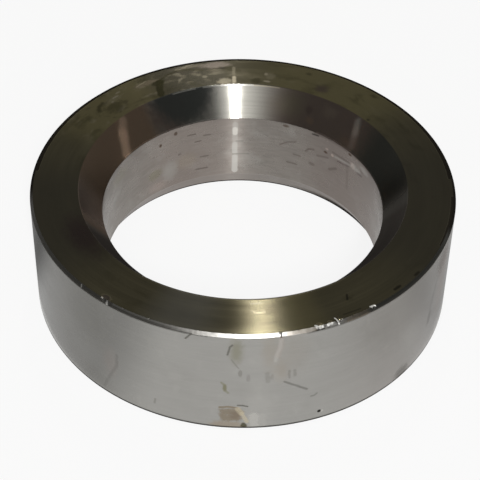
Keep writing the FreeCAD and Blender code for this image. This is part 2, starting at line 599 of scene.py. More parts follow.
def segment_group() -> bpy.types.NodeTree:
    """Make the group that gives the distance to a straight piece of a scratch, in millimetres.

    The point and the piece's far end are taken from its near end, in millimetres round the ring and
    along the section. The point's projection on the piece, as a share of it from 0 to 1, is the
    nearest place.

    Returns:
        The group.
    """
    graph, given, wanted = shared_group(
        "segment", {"Azimuth": "Float", "Along": "Float", "Per Degree": "Float", "From Azimuth": "Float",
                    "From Along": "Float", "To Azimuth": "Float", "To Along": "Float"},
        {"Distance": "Float"})
    x = graph.math("MULTIPLY", graph.turn(given["From Azimuth"], given["Azimuth"]), given["Per Degree"])
    y = graph.math("SUBTRACT", given["Along"], given["From Along"])
    span = graph.math("SUBTRACT", given["To Azimuth"], given["From Azimuth"])
    far_x = graph.math("MULTIPLY", span, given["Per Degree"])
    far_y = graph.math("SUBTRACT", given["To Along"], given["From Along"])
    square = graph.products(far_x, far_x, far_y, far_y)
    share = graph.math("DIVIDE", graph.products(x, far_x, y, far_y), square)
    share = graph.math("MINIMUM", graph.math("MAXIMUM", share, 0.0), 1.0)
    off_x = graph.math("SUBTRACT", x, graph.math("MULTIPLY", far_x, share))
    off_y = graph.math("SUBTRACT", y, graph.math("MULTIPLY", far_y, share))
    graph.feed(wanted["Distance"], graph.length(off_x, off_y))
    return graph.tree


def edge_group(noise_middle: float = 0.5, stray_gain: float = 3.0) -> bpy.types.NodeTree:
    """Make the group that gives a mark its soft and ragged edge.

    The reach is 1 on the mark's outline. Noise, which strays by about a sixth, shifts it by three
    times the raggedness, and the mask falls smoothly from 1 to 0 over the softness on both sides.

    Args:
        noise_middle: the noise's average.
        stray_gain: what the noise's stray from it is multiplied by.

    Returns:
        The group.
    """
    graph, given, wanted = shared_group(
        "soft_edge", {"Reach": "Float", "Noise": "Float", "Softness": "Float", "Ragged": "Float"},
        {"Mask": "Float"})
    stray = graph.math("MULTIPLY", graph.math("SUBTRACT", given["Noise"], noise_middle), stray_gain)
    reach = graph.math("ADD", given["Reach"], graph.math("MULTIPLY", stray, given["Ragged"]))
    inner = graph.math("SUBTRACT", 1.0, given["Softness"])
    outer = graph.math("ADD", 1.0, given["Softness"])
    graph.feed(wanted["Mask"], graph.between(reach, inner, outer, 1.0, 0.0))
    return graph.tree


def turning_group(band_rate: float = 0.17) -> bpy.types.NodeTree:
    """Make the group for the fine lines that run round a turned or ground face.

    Noise is read at (drift times the unit circle, distance along over the pitch), so it changes
    quickly along the section and slowly round it.

    Args:
        band_rate: how quickly the wider bands change along the section, where the lines' rate is 1.

    Returns:
        The group.
    """
    graph, given, wanted = shared_group(
        "turning_lines", {"Round X": "Float", "Round Y": "Float", "Along": "Float", "Pitch": "Float",
                          "Drift": "Float"}, {"Height": "Float", "Bands": "Float"})
    x = graph.math("MULTIPLY", given["Round X"], given["Drift"])
    y = graph.math("MULTIPLY", given["Round Y"], given["Drift"])
    z = graph.math("DIVIDE", given["Along"], given["Pitch"])
    graph.feed(wanted["Height"], graph.noise(graph.combine(x, y, z), detail=3.0, roughness=0.6))
    wide = graph.math("MULTIPLY", z, band_rate)
    graph.feed(wanted["Bands"], graph.noise(graph.combine(x, y, wide), detail=2.0, roughness=0.5))
    return graph.tree


def clouds_group() -> bpy.types.NodeTree:
    """Make the group for stains and mottling.

    Noise is read at (length round the ring over the stretch, distance along), both in millimetres
    and divided by the grain, and the mask rises smoothly from the low to the high threshold.

    Returns:
        The group.
    """
    graph, given, wanted = shared_group(
        "clouds", {"Round X": "Float", "Round Y": "Float", "Along": "Float", "Grain": "Float",
                   "Stretch": "Float", "Low": "Float", "High": "Float", "Shift": "Float"},
        {"Mask": "Float", "Noise": "Float"})
    patch = graph.math("MULTIPLY", given["Grain"], given["Stretch"])
    girth = graph.math("DIVIDE", OUTER_RADIUS / MM, patch)
    x = graph.math("MULTIPLY", given["Round X"], girth)
    y = graph.math("MULTIPLY", given["Round Y"], girth)
    z = graph.math("ADD", graph.math("DIVIDE", given["Along"], given["Grain"]), given["Shift"])
    noise = graph.noise(graph.combine(x, y, z), detail=4.0, roughness=0.58, distortion=0.35)
    graph.feed(wanted["Noise"], noise)
    graph.feed(wanted["Mask"], graph.between(noise, given["Low"], given["High"]))
    return graph.tree


GROUPS = {
    "place": ring_place_group(),
    "stretch": stretch_group(),
    "ellipse": ellipse_group(),
    "segment": segment_group(),
    "edge": edge_group(),
    "turning": turning_group(),
    "clouds": clouds_group(),
}


def place_on_ring(graph: Graph) -> dict[str, bpy.types.NodeSocket]:
    """Return the place on the ring, by the output names of its group, for the object's own points."""
    coordinates = graph.node("TexCoord")
    node = graph.place(GROUPS["place"], Object=coordinates.outputs["Object"])
    return {socket.name: socket for socket in node.outputs}


class Along(Enum):
    """What measures the distance along the section on a zone."""

    DEPTH = "Depth"
    RADIUS = "Radius"


@dataclass(frozen=True)
class Film:
    """What lies in a mark: a colour, how rough it is, and how much bare metal still shows."""

    colour: Colour
    roughness: float
    metallic: float = 1.0


class DirtAndLight(Enum):
    """Kinds of film and wear on the ring, and of painted highlight and painted shade laid into its colour.
    """

    BRIGHT = Film((0.62, 0.60, 0.55), 0.30)
    # bare metal at the chips, painted white as a glint
    FRESH = Film((0.85, 0.84, 0.80), 0.50, 0.30)
    PALE = Film((0.43, 0.42, 0.39), 0.30)
    CREAM = Film((0.50, 0.44, 0.32), 0.20)
    PINK = Film((0.44, 0.36, 0.32), 0.28)
    TAN = Film((0.31, 0.26, 0.20), 0.26)
    GREY = Film((0.20, 0.19, 0.17), 0.30)
    SCORE = Film((0.14, 0.135, 0.12), 0.30)
    GOLD = Film((0.31, 0.27, 0.14), 0.17)
    DUSK = Film((0.11, 0.10, 0.075), 0.17)
    OILY = Film((0.20, 0.19, 0.12), 0.24)
    OLIVE = Film((0.060, 0.055, 0.025), 0.20)
    UMBER = Film((0.165, 0.125, 0.105), 0.20)
    MAROON = Film((0.255, 0.180, 0.125), 0.20)
    RUSSET = Film((0.66, 0.48, 0.35), 0.20)
    STAIN = Film((0.225, 0.182, 0.128), 0.30)
    MAUVE = Film((0.185, 0.150, 0.135), 0.28)
    RUST = Film((0.120, 0.075, 0.050), 0.50, 0.40)
    PURPLE = Film((0.085, 0.060, 0.058), 0.30)
    SLATE = Film((0.090, 0.096, 0.090), 0.20)
    SHADE = Film((0.075, 0.078, 0.068), 0.20)
    # dark film on the rim, with painted shade where it mirrors the dark room
    OIL = Film((0.105, 0.100, 0.090), 0.355)
    # smears in the bore, and painted shade at its lower end
    SMEAR = Film((0.150, 0.125, 0.110), 0.30)
    DARK = Film((0.045, 0.040, 0.032), 0.40, 0.60)
    INK = Film((0.030, 0.027, 0.022), 0.20)
    BLACK = Film((0.012, 0.010, 0.008), 0.50, 0.0)
    # matt dark: painted shade in the knocks' hollows and on the lead-in's sides, and dark lines along
    # edges
    SOOT = Film((0.034, 0.027, 0.024), 0.60, 0.0)
    # painted shade under the chamfer
    GRIME = Film((0.060, 0.056, 0.050), 0.60, 0.0)


@dataclass(frozen=True)
class Spot:
    """Where a point of the metal lies, as sockets that the masks read.

    Attributes:
        azimuth: degrees round the axis.
        along: millimetres along the section.
        per_degree: millimetres round the ring for one degree.
        circle: the inputs that all patterns round the ring share.
        rag: noise that eats into the edges of marks.
    """

    azimuth: bpy.types.NodeSocket
    along: bpy.types.NodeSocket
    per_degree: bpy.types.NodeSocket
    circle: dict[str, bpy.types.NodeSocket]
    rag: bpy.types.NodeSocket


# Noise that eats into the edges of marks, as inputs of the clouds group
RAG = {"Grain": 1.6, "Stretch": 1.2, "Low": 0.3, "High": 0.7, "Shift": 3.7}
# A distance beyond any on the ring, in millimetres
FAR = 1000.0
# How much of the noise's range the lines and the bands use
LINE_NOISE = (0.25, 0.75)
BAND_NOISE = (0.3, 0.7)
# Share by which the bands change the roughness
ROUGHNESS_SWING = 0.1
# A quarter of a turn of the tangent, so that light spreads across the lines
ACROSS_LINES = 0.25
# Share of a cloud's sector over which it fades
SECTOR_FADE = 0.3


@dataclass(frozen=True)
class Cloud:
    """A mottled tint over a whole zone, or over a sector of it.

    Attributes:
        dirt_and_light: what it lays, a film or wear, or a painted highlight or painted shade.
        grain: size of its patches, in millimetres.
        low: noise at which it starts.
        high: noise at which it covers fully.
        strength: how much it covers, from 0 to 1.
        stretch: how many times longer its patches are round the ring.
        shift: moves the pattern, so that two clouds differ.
        azimuth: middle of its sector, in degrees.
        half_width: half the width of its sector, in degrees, where 0 is the whole zone.
    """

    dirt_and_light: DirtAndLight
    grain: float
    low: float
    high: float
    strength: float
    stretch: float = 1.0
    shift: float = 0.0
    azimuth: float = 0.0
    half_width: float = 0.0

    def mask(self, graph: Graph, spot: Spot) -> bpy.types.NodeSocket:
        """Draw where it lies and return the mask."""
        mottling = graph.place(GROUPS["clouds"], **spot.circle, Grain=self.grain, Stretch=self.stretch,
                               Low=self.low, High=self.high, Shift=self.shift).outputs["Mask"]
        if not self.half_width:
            return mottling
        sector = graph.place(GROUPS["stretch"], Value=spot.azimuth, Middle=self.azimuth,
                             Half_Width=self.half_width, Fade=self.half_width * SECTOR_FADE)
        return graph.math("MULTIPLY", mottling, sector.outputs["Mask"])


@dataclass(frozen=True)
class Sector:
    """An even tint over a sector of a zone.

    Attributes:
        dirt_and_light: what it lays, a film or wear, or a painted highlight or painted shade.
        azimuth: its middle round the ring, in degrees.
        half_width: half its width, in degrees.
        fade: half the width over which its ends fade, in degrees.
        strength: how much it covers, from 0 to 1.
    """

    dirt_and_light: DirtAndLight
    azimuth: float
    half_width: float
    fade: float
    strength: float

    def mask(self, graph: Graph, spot: Spot) -> bpy.types.NodeSocket:
        """Draw where it lies and return the mask."""
        return graph.place(GROUPS["stretch"], Value=spot.azimuth, Middle=self.azimuth,
                           Half_Width=self.half_width, Fade=self.fade).outputs["Mask"]


@dataclass(frozen=True)
class Band:
    """An even tint over a length of the section, all the way round.

    Attributes:
        dirt_and_light: what it lays, a film or wear, or a painted highlight or painted shade.
        along: its middle along the section, in millimetres of depth or radius.
        half_length: half its length along the section, in millimetres.
        fade: half the length over which its edges fade, in millimetres.
        strength: how much it covers, from 0 to 1.
    """

    dirt_and_light: DirtAndLight
    along: float
    half_length: float
    fade: float
    strength: float

    def mask(self, graph: Graph, spot: Spot) -> bpy.types.NodeSocket:
        """Draw where it lies and return the mask."""
        return graph.place(GROUPS["stretch"], Value=spot.along, Middle=self.along,
                           Half_Width=self.half_length, Fade=self.fade).outputs["Mask"]


@dataclass(frozen=True)
class Mark:
    """One roundish mark at its own place on a zone.

    Attributes:
        dirt_and_light: what it lays, a film or wear, or a painted highlight or painted shade.
        azimuth: its middle round the ring, in degrees.
        half_width: half its width, in degrees.
        along: its middle along the section, in millimetres of depth or radius.
        half_length: half its length along the section, in millimetres.
        strength: how much it covers, from 0 to 1.
        lean: degrees round for each millimetre along.
        softness: share of its half size over which it fades.
        ragged: how far noise eats into its edge.
    """

    dirt_and_light: DirtAndLight
    azimuth: float
    half_width: float
    along: float
    half_length: float
    strength: float = 0.7
    lean: float = 0.0
    softness: float = 0.35
    ragged: float = 0.4

    def mask(self, graph: Graph, spot: Spot) -> bpy.types.NodeSocket:
        """Draw where it lies and return the mask."""
        reach = graph.place(GROUPS["ellipse"], Azimuth=spot.azimuth, Along=spot.along,
                            Middle=self.azimuth, Half_Width=self.half_width, At=self.along,
                            Half_Length=self.half_length, Lean=self.lean).outputs["Reach"]
        return graph.place(GROUPS["edge"], Reach=reach, Noise=spot.rag, Softness=self.softness,
                           Ragged=self.ragged).outputs["Mask"]


@dataclass(frozen=True)
class Stroke:
    """A thin line that runs through a few points, such as a scratch, a dried run, a smear, a painted
    highlight or a painted shadow.

    Attributes:
        dirt_and_light: what it lays, a film or wear, or a painted highlight or painted shade.
        points: its ends and bends, as azimuth in degrees and millimetres along the section.
        half_thickness: half its thickness, in millimetres.
        strength: how much it covers, from 0 to 1.
        softness: share of its half thickness over which it fades.
        ragged: how far noise eats into its edge.
    """

    dirt_and_light: DirtAndLight
    points: tuple[tuple[float, float], ...]
    half_thickness: float
    strength: float = 0.7
    softness: float = 0.5
    ragged: float = 0.3

    def mask(self, graph: Graph, spot: Spot) -> bpy.types.NodeSocket:
        """Draw where it lies and return the mask."""
        nearest: Value = FAR
        for start, end in zip(self.points, self.points[1:]):
            distance = graph.place(GROUPS["segment"], Azimuth=spot.azimuth, Along=spot.along,
                                   Per_Degree=spot.per_degree, From_Azimuth=start[0],
                                   From_Along=start[1], To_Azimuth=end[0],
                                   To_Along=end[1]).outputs["Distance"]
            nearest = graph.math("MINIMUM", nearest, distance)
        reach = graph.math("DIVIDE", nearest, self.half_thickness)
        return graph.place(GROUPS["edge"], Reach=reach, Noise=spot.rag, Softness=self.softness,
                           Ragged=self.ragged).outputs["Mask"]


@dataclass(frozen=True)
class Finish:
    """The machined finish of one zone with all that lies on it.

    Attributes:
        name: the material's name.
        colour: the clean metal's colour.
        roughness: its roughness.
        anisotropy: how much further light spreads across the lines than along them.
        along: what measures the distance along the section.
        pitch: spacing of the turning lines, in millimetres.
        drift: how quickly the lines change round the ring.
        line_contrast: how much the lines lighten and darken the metal.
        line_depth: height of the lines, in millimetres.
        band_contrast: how much the wider bands lighten and darken it.
        layers: what lies on the metal and the painted highlights and shade laid into its colour, from the
            lowest up.
    """

    name: str
    colour: Colour
    roughness: float
    anisotropy: float
    along: Along
    pitch: float = 0.5
    drift: float = 2.0
    line_contrast: float = 0.12
    line_depth: float = 0.002
    band_contrast: float = 0.1
    layers: tuple[Cloud | Sector | Band | Mark | Stroke, ...] = ()

    def material(self) -> bpy.types.Material:
        """Draw the finish as a material of nodes.

        The clean metal is lightened and darkened by its turning lines. Each layer is laid over it by
        its mask, in colour, roughness and metal alike.

        Returns:
            The material.
        """
        material = bpy.data.materials.new(self.name)
        graph = empty_graph(material)
        place = place_on_ring(graph)
        along = place[self.along.value]
        circle = {"Round_X": place["Round X"], "Round_Y": place["Round Y"], "Along": along}
        rag = graph.place(GROUPS["clouds"], **circle, **RAG).outputs["Noise"]
        per_degree = graph.math("MULTIPLY", place["Radius"], math.radians(1.0))
        spot = Spot(place["Azimuth"], along, per_degree, circle, rag)
        lines = graph.place(GROUPS["turning"], **circle, Pitch=self.pitch, Drift=self.drift).outputs
        colour, rough = self.clean_metal(graph, lines["Height"], lines["Bands"])
        metal: Value = 1.0
        for layer in self.layers:
            film = layer.dirt_and_light.value
            amount = graph.math("MULTIPLY", layer.mask(graph, spot), layer.strength)
            colour = graph.mix(amount, colour, film.colour)
            rough = graph.blend(amount, rough, film.roughness)
            if film.metallic < 1.0:
                metal = graph.blend(amount, metal, film.metallic)
        self.end_in_steel(graph, lines["Height"], colour, rough, metal)
        return material

    def clean_metal(self, graph: Graph, height: bpy.types.NodeSocket,
                    bands: bpy.types.NodeSocket) -> tuple[bpy.types.NodeSocket, bpy.types.NodeSocket]:
        """Lighten and darken the clean metal by its turning lines.

        Args:
            graph: the material's graph.
            height: height of the lines.
            bands: the wider bands among them.

        Returns:
            The metal's colour and its roughness.
        """
        shade = graph.between(height, *LINE_NOISE, 1 - self.line_contrast, 1 + self.line_contrast)
        band = graph.between(bands, *BAND_NOISE, 1 - self.band_contrast, 1 + self.band_contrast)
        level = graph.math("MULTIPLY", shade, band)
        colour = graph.mix(1.0, self.colour, graph.combine(level, level, level), "MULTIPLY")
        rough = graph.between(bands, *BAND_NOISE, self.roughness * (1 - ROUGHNESS_SWING),
                              self.roughness * (1 + ROUGHNESS_SWING))
        return colour, rough

    def end_in_steel(self, graph: Graph, height: Value, colour: Value, rough: Value, metal: Value) -> None:
        """Draw the steel's shader, which spreads light across the lines, and end the material with it.

        Args:
            graph: the material's graph.
            height: height of the lines.
            colour: colour of the metal and what lies on it.
            rough: roughness of both.
            metal: how much bare metal shows.
        """
        bump = graph.node("Bump")
        bump.inputs["Strength"].default_value = 1.0
        bump.inputs["Distance"].default_value = self.line_depth * MM
        graph.feed(bump.inputs["Height"], height)
        tangent = graph.node("Tangent", direction_type="UV_MAP", uv_map=UV_MAP)
        steel = graph.node("BsdfPrincipled")
        steel.inputs["Anisotropic"].default_value = self.anisotropy
        steel.inputs["Anisotropic Rotation"].default_value = ACROSS_LINES
        # dry films and painted shade mirror nothing, and bare metal doesn't use this value
        steel.inputs["Specular IOR Level"].default_value = 0.0
        graph.feed(steel.inputs["Tangent"], tangent.outputs[0])
        graph.feed(steel.inputs["Base Color"], colour)
        graph.feed(steel.inputs["Roughness"], rough)
        graph.feed(steel.inputs["Metallic"], metal)
        graph.feed(steel.inputs["Normal"], bump.outputs[0])
        graph.end(steel.outputs[0])


# Layers hold degrees round the ring and millimetres along the section, in the order of their fields
OUTER_FACE = Finish(
    "ground_outer_face", (0.335, 0.328, 0.308), 0.20, 0.9, Along.DEPTH,
    pitch=0.6, drift=5.0, line_contrast=0.025, line_depth=0.0012, band_contrast=0.018,
    layers=(
        Cloud(DirtAndLight.GREY, 14.0, 0.48, 0.80, 0.14, 1.0, 1.3),
        Cloud(DirtAndLight.PALE, 9.0, 0.52, 0.80, 0.30, 0.6, 5.1),
        # soft tints
        Sector(DirtAndLight.PINK, 325.0, 22.0, 14.0, 0.14),
        Mark(DirtAndLight.OLIVE, 227.0, 7.0, 11.0, 12.0, 0.14, softness=0.7),
        Mark(DirtAndLight.OLIVE, 229.0, 5.0, 41.0, 6.0, 0.12, softness=0.7),
        Mark(DirtAndLight.PINK, 234.5, 2.2, 28.0, 6.0, 0.20, softness=0.7),
        Mark(DirtAndLight.OLIVE, 315.0, 11.0, 11.0, 12.0, 0.12, softness=0.7),
        Mark(DirtAndLight.PALE, 321.0, 3.4, 27.0, 6.0, 0.35, softness=0.7),
        Mark(DirtAndLight.PINK, 338.5, 3.8, 18.0, 13.0, 0.40, softness=0.7),
        Mark(DirtAndLight.RUST, 337.0, 4.0, 7.0, 5.5, 0.25, softness=0.7),
        Mark(DirtAndLight.TAN, 277.5, 1.8, 7.0, 8.5, 0.28, softness=0.8),
        Mark(DirtAndLight.TAN, 283.0, 4.0, 9.0, 9.0, 0.15, softness=0.9),
        Mark(DirtAndLight.OILY, 269.2, 1.5, 7.0, 5.0, 0.55, softness=0.8),
        # lines and blots on the left and in the middle
        Stroke(DirtAndLight.SCORE, ((236.9, 23.0), (236.6, 28.5), (234.2, 35.0), (232.0, 42.0)), 0.55, 0.24, 0.9,
                0.6),
        Stroke(DirtAndLight.GREY, ((248.0, 36.8), (247.8, 38.8)), 0.40, 0.50, 0.8),
        Stroke(DirtAndLight.SCORE, ((258.0, 0.8), (256.5, 3.5)), 0.35, 0.85),
        Stroke(DirtAndLight.SCORE, ((268.2, 4.2), (267.6, 5.0), (267.0, 8.8)), 0.35, 0.80),
        Stroke(DirtAndLight.GREY, ((268.0, 11.0), (269.8, 15.0)), 0.25, 0.50),
        Mark(DirtAndLight.GREY, 270.2, 0.5, 17.5, 1.6, 0.60),
        Stroke(DirtAndLight.OILY, ((265.6, 22.2), (266.3, 23.5), (266.5, 25.8), (267.3, 27.0)), 0.40, 0.55, 0.8),
        Mark(DirtAndLight.OILY, 266.4, 0.5, 24.5, 1.7, 0.80, softness=0.5),
        # drips and scratches right of the middle
        Mark(DirtAndLight.PURPLE, 272.3, 0.5, 19.5, 1.8, 0.20),
        Mark(DirtAndLight.TAN, 280.5, 1.7, 17.0, 4.2, 0.28, softness=0.8),
        Stroke(DirtAndLight.PALE, ((280.2, 2.0), (280.0, 6.0), (279.2, 9.5), (279.0, 12.0)), 0.60, 0.60, 0.8),
        Stroke(DirtAndLight.PINK, ((280.4, 2.0), (280.2, 6.0), (279.5, 9.5)), 0.90, 0.20, 0.8),
        Mark(DirtAndLight.RUST, 280.1, 0.5, 0.6, 0.9, 0.80),
        Stroke(DirtAndLight.GREY, ((277.1, 18.0), (277.2, 21.6)), 0.80, 0.38, 0.6, 0.5),
        Stroke(DirtAndLight.GREY, ((278.3, 18.4), (278.3, 20.6)), 0.45, 0.30, 0.6, 0.5),
        Stroke(DirtAndLight.GREY, ((282.6, 17.4), (282.7, 20.8)), 0.42, 0.45, 0.6, 0.5),
        Stroke(DirtAndLight.GREY, ((284.0, 17.6), (284.2, 20.2)), 0.50, 0.40, 0.6, 0.5),
        Stroke(DirtAndLight.SCORE, ((281.5, 22.5), (284.6, 25.2), (287.5, 28.0)), 0.42, 0.62, 0.7),
        Stroke(DirtAndLight.SCORE, ((288.8, 32.0), (289.6, 32.0), (290.3, 31.3)), 0.36, 0.50, 0.8),
        # small black pit with its bright lip
        Mark(DirtAndLight.BRIGHT, 292.1, 0.40, 40.9, 0.5, 0.40, softness=0.6),
        Mark(DirtAndLight.BLACK, 291.3, 0.46, 40.7, 0.58, 0.95, softness=0.3),
        # smudges on the right
        Mark(DirtAndLight.DARK, 318.5, 2.6, 42.5, 2.6, 0.40, softness=0.6),
        Stroke(DirtAndLight.GREY, ((331.2, 26.5), (330.8, 30.5)), 1.10, 0.50, 0.9, 0.6),
        Stroke(DirtAndLight.GREY, ((333.5, 14.0), (331.0, 24.0)), 0.90, 0.28, 0.9, 0.6),
        # brown stain at the foot, with pale patches on its right that also paint the key lamp's faint
        # upright highlight
        Mark(DirtAndLight.TAN, 267.2, 4.3, 43.0, 2.0, 0.75, softness=0.4),
        Stroke(DirtAndLight.STAIN, ((266.4, 36.7), (269.8, 36.4), (269.4, 39.0), (266.4, 39.2)), 1.8, 0.80, 0.4,
                0.6),
        Stroke(DirtAndLight.STAIN, ((265.2, 34.4), (267.4, 33.9), (269.6, 34.2)), 0.45, 0.85, 0.5),
        Mark(DirtAndLight.RUST, 269.2, 1.3, 38.0, 2.1, 0.30, softness=0.7),
        Mark(DirtAndLight.PALE, 275.2, 3.4, 34.5, 10.5, 0.20, softness=0.6),
        Mark(DirtAndLight.DARK, 278.3, 0.7, 44.2, 0.5, 0.70),
        Stroke(DirtAndLight.PALE, ((276.0, 38.5), (276.2, 43.0)), 1.3, 0.25, 0.5, 0.3),
        Stroke(DirtAndLight.PALE, ((273.9, 38.2), (274.1, 43.0)), 1.6, 0.75, 0.5, 0.3),
        Stroke(DirtAndLight.SCORE, ((269.8, 33.0), (271.0, 33.0), (272.3, 33.5)), 0.35, 0.90),
        Stroke(DirtAndLight.CREAM, ((269.8, 34.8), (270.8, 37.0)), 0.95, 0.60, 0.4),
        Stroke(DirtAndLight.CREAM, ((270.8, 37.0), (271.6, 39.2), (272.2, 41.2)), 0.70, 0.65, 0.4),
        Mark(DirtAndLight.OLIVE, 271.4, 0.8, 42.9, 1.2, 0.85, softness=0.25),
        # painted shadows along the edges: under the chamfer and round the foot
        Stroke(DirtAndLight.GRIME, ((205.0, 1.2), (262.0, 1.2)), 0.26, 0.45),
        Stroke(DirtAndLight.GRIME, ((287.0, 1.2), (330.0, 1.2)), 0.26, 0.45),
        Band(DirtAndLight.BLACK, 44.65, 0.95, 0.35, 0.90),
    ),
)

TOP_FACE = Finish(
    "turned_top_face", (0.190, 0.168, 0.105), 0.17, 1.0, Along.RADIUS,
    pitch=0.7, drift=1.6, line_contrast=0.10, line_depth=0.0015, band_contrast=0.10,
    layers=(
        Cloud(DirtAndLight.OLIVE, 7.0, 0.50, 0.75, 0.40, 2.0, 2.2),
        Cloud(DirtAndLight.PURPLE, 9.0, 0.56, 0.80, 0.25, 1.5, 7.4),
        # broad changes of tint round the face; the golden tints on both sides of the back highlight are
        # part real tint and part painted highlight, the glow round it
        Sector(DirtAndLight.GOLD, 60.0, 22.0, 10.0, 0.95),
        Sector(DirtAndLight.GOLD, 137.0, 20.0, 8.0, 0.95),
        Sector(DirtAndLight.DUSK, 351.0, 30.0, 14.0, 0.75),
        Sector(DirtAndLight.DUSK, 197.0, 24.0, 12.0, 0.80),
        Sector(DirtAndLight.DUSK, 109.0, 15.0, 6.0, 0.80),
        Sector(DirtAndLight.PALE, 254.0, 8.0, 6.0, 0.36),
        Sector(DirtAndLight.GOLD, 288.0, 4.5, 3.0, 0.45),
        # fine mottling at the back
        Cloud(DirtAndLight.CREAM, 3.4, 0.52, 0.70, 0.40, 1.9, 9.1, 126.0, 30.0),
        Cloud(DirtAndLight.OLIVE, 4.6, 0.50, 0.68, 0.50, 1.9, 3.3, 122.0, 34.0),
        Cloud(DirtAndLight.CREAM, 3.0, 0.54, 0.76, 0.22, 2.6, 5.6, 68.0, 26.0),
        Cloud(DirtAndLight.OLIVE, 5.0, 0.50, 0.72, 0.40, 2.6, 8.8, 56.0, 34.0),
        # dark tint on the left
        Mark(DirtAndLight.PURPLE, 208.0, 9.0, 61.5, 4.5, 0.80, softness=0.7),
        # mottling at the back, right of the highlight
        Mark(DirtAndLight.GOLD, 60.0, 8.0, 69.5, 3.0, 0.60, softness=0.5),
        Mark(DirtAndLight.UMBER, 62.5, 2.3, 63.0, 2.1, 0.80, softness=0.6),
        Mark(DirtAndLight.OLIVE, 69.5, 0.9, 69.5, 0.8, 0.50, softness=0.6),
        Mark(DirtAndLight.OLIVE, 47.0, 1.0, 71.0, 0.8, 0.45, softness=0.6),
        Mark(DirtAndLight.INK, 39.5, 0.6, 59.2, 0.5, 0.60),
        Mark(DirtAndLight.CREAM, 81.3, 1.6, 64.0, 2.0, 0.30),
        Mark(DirtAndLight.CREAM, 82.2, 1.3, 60.5, 0.6, 0.90),
        Mark(DirtAndLight.CREAM, 83.0, 0.6, 65.0, 0.8, 0.70),
        Mark(DirtAndLight.OLIVE, 86.2, 1.8, 60.2, 1.8, 0.60),
        # painted highlight at the back: a bright streak and pale flecks, with a pink and a dark spot
        Stroke(DirtAndLight.CREAM, ((94.0, 59.4), (94.0, 62.4)), 0.75, 0.85, 0.4, 0.2),
        Stroke(DirtAndLight.CREAM, ((94.0, 64.5), (93.8, 68.5)), 0.60, 0.30, 0.5, 0.2),
        Mark(DirtAndLight.CREAM, 97.5, 2.7, 60.0, 1.9, 0.55),
        Mark(DirtAndLight.PINK, 99.5, 4.5, 70.8, 1.8, 0.30),
        Mark(DirtAndLight.INK, 97.5, 1.2, 68.5, 0.5, 0.50),
        Mark(DirtAndLight.CREAM, 104.0, 0.9, 64.0, 0.8, 0.35),
        Mark(DirtAndLight.CREAM, 108.5, 4.5, 71.6, 0.9, 0.25),
        # scuffs at the back, left of the highlight
        Stroke(DirtAndLight.OLIVE, ((104.0, 68.0), (108.0, 69.8), (112.0, 70.3), (116.0, 69.3), (118.5, 67.5)),
                0.45, 0.60),
        Mark(DirtAndLight.STAIN, 123.5, 4.6, 68.2, 1.2, 0.60),
        Stroke(DirtAndLight.CREAM, ((123.0, 69.6), (127.0, 68.4)), 0.25, 0.60),
        Stroke(DirtAndLight.OLIVE, ((119.2, 66.6), (121.0, 62.5), (122.0, 59.4)), 1.4, 0.95, 0.3, 0.35),
        Stroke(DirtAndLight.OLIVE, ((118.4, 66.8), (121.0, 66.2)), 1.3, 0.85, 0.4, 0.4),
        Mark(DirtAndLight.CREAM, 133.2, 0.9, 70.0, 0.40, 0.80),
        Mark(DirtAndLight.CREAM, 135.2, 1.3, 68.5, 0.40, 0.90),
        Mark(DirtAndLight.CREAM, 137.5, 0.5, 67.0, 0.40, 0.70),
        Stroke(DirtAndLight.OLIVE, ((140.2, 69.2), (142.0, 68.7), (143.9, 66.8)), 0.80, 0.65, 0.8, 0.7),
        Mark(DirtAndLight.CREAM, 137.0, 2.8, 67.8, 1.4, 0.30, softness=0.7, ragged=0.8),
        # dark edge of the lead-in at the front, and small scratches
        Stroke(DirtAndLight.SOOT, ((236.0, 58.2), (306.0, 58.2)), 0.35, 0.60),
        Stroke(DirtAndLight.BRIGHT, ((273.0, 60.3), (276.5, 60.0)), 0.18, 0.15, 0.8),
        Stroke(DirtAndLight.CREAM, ((273.4, 63.6), (274.6, 64.6), (277.0, 64.2)), 0.40, 0.25, 0.8, 0.8),
        Stroke(DirtAndLight.INK, ((301.3, 67.0), (302.3, 65.0)), 0.35, 0.70),
        # black line along the outer edge, at the back and on the right
        Stroke(DirtAndLight.BLACK, ((4.0, 73.6), (90.0, 73.6), (176.0, 73.6)), 0.75, 0.97, 0.3, 0.25),
        Stroke(DirtAndLight.BLACK, ((336.0, 73.8), (356.0, 73.6)), 0.55, 0.92, 0.4, 0.3),
        # dark rubs inside the rim on the right
        Stroke(DirtAndLight.INK, ((297.5, 72.3), (302.5, 72.6)), 0.20, 0.60, 0.6, 0.5),
        Stroke(DirtAndLight.INK, ((314.2, 72.6), (316.2, 72.7)), 0.50, 0.75, 0.7, 0.6),
        Stroke(DirtAndLight.INK, ((322.0, 73.2), (323.6, 73.4)), 0.40, 0.70, 0.7, 0.6),
        # painted shade in the hollows of the knocks, and metal laid bare beside them, painted white as
        # glints
        Mark(DirtAndLight.SOOT, 233.2, 1.3, 73.2, 1.2, 0.92),
        Mark(DirtAndLight.SOOT, 290.2, 0.7, 73.2, 0.5, 0.70),
        Mark(DirtAndLight.SOOT, 293.1, 0.6, 73.3, 0.5, 0.70),
        Stroke(DirtAndLight.FRESH, ((289.2, 73.6), (290.3, 74.2)), 0.36, 0.90, 0.4, 0.5),
        Stroke(DirtAndLight.FRESH, ((292.8, 73.9), (293.6, 74.1)), 0.25, 0.60, 0.4, 0.5),
        Stroke(DirtAndLight.FRESH, ((294.8, 72.6), (295.2, 74.0)), 0.25, 0.85, 0.4),
        Stroke(DirtAndLight.FRESH, ((305.1, 73.7), (306.2, 74.0)), 0.45, 0.90, 0.4, 0.6),
    ),
)

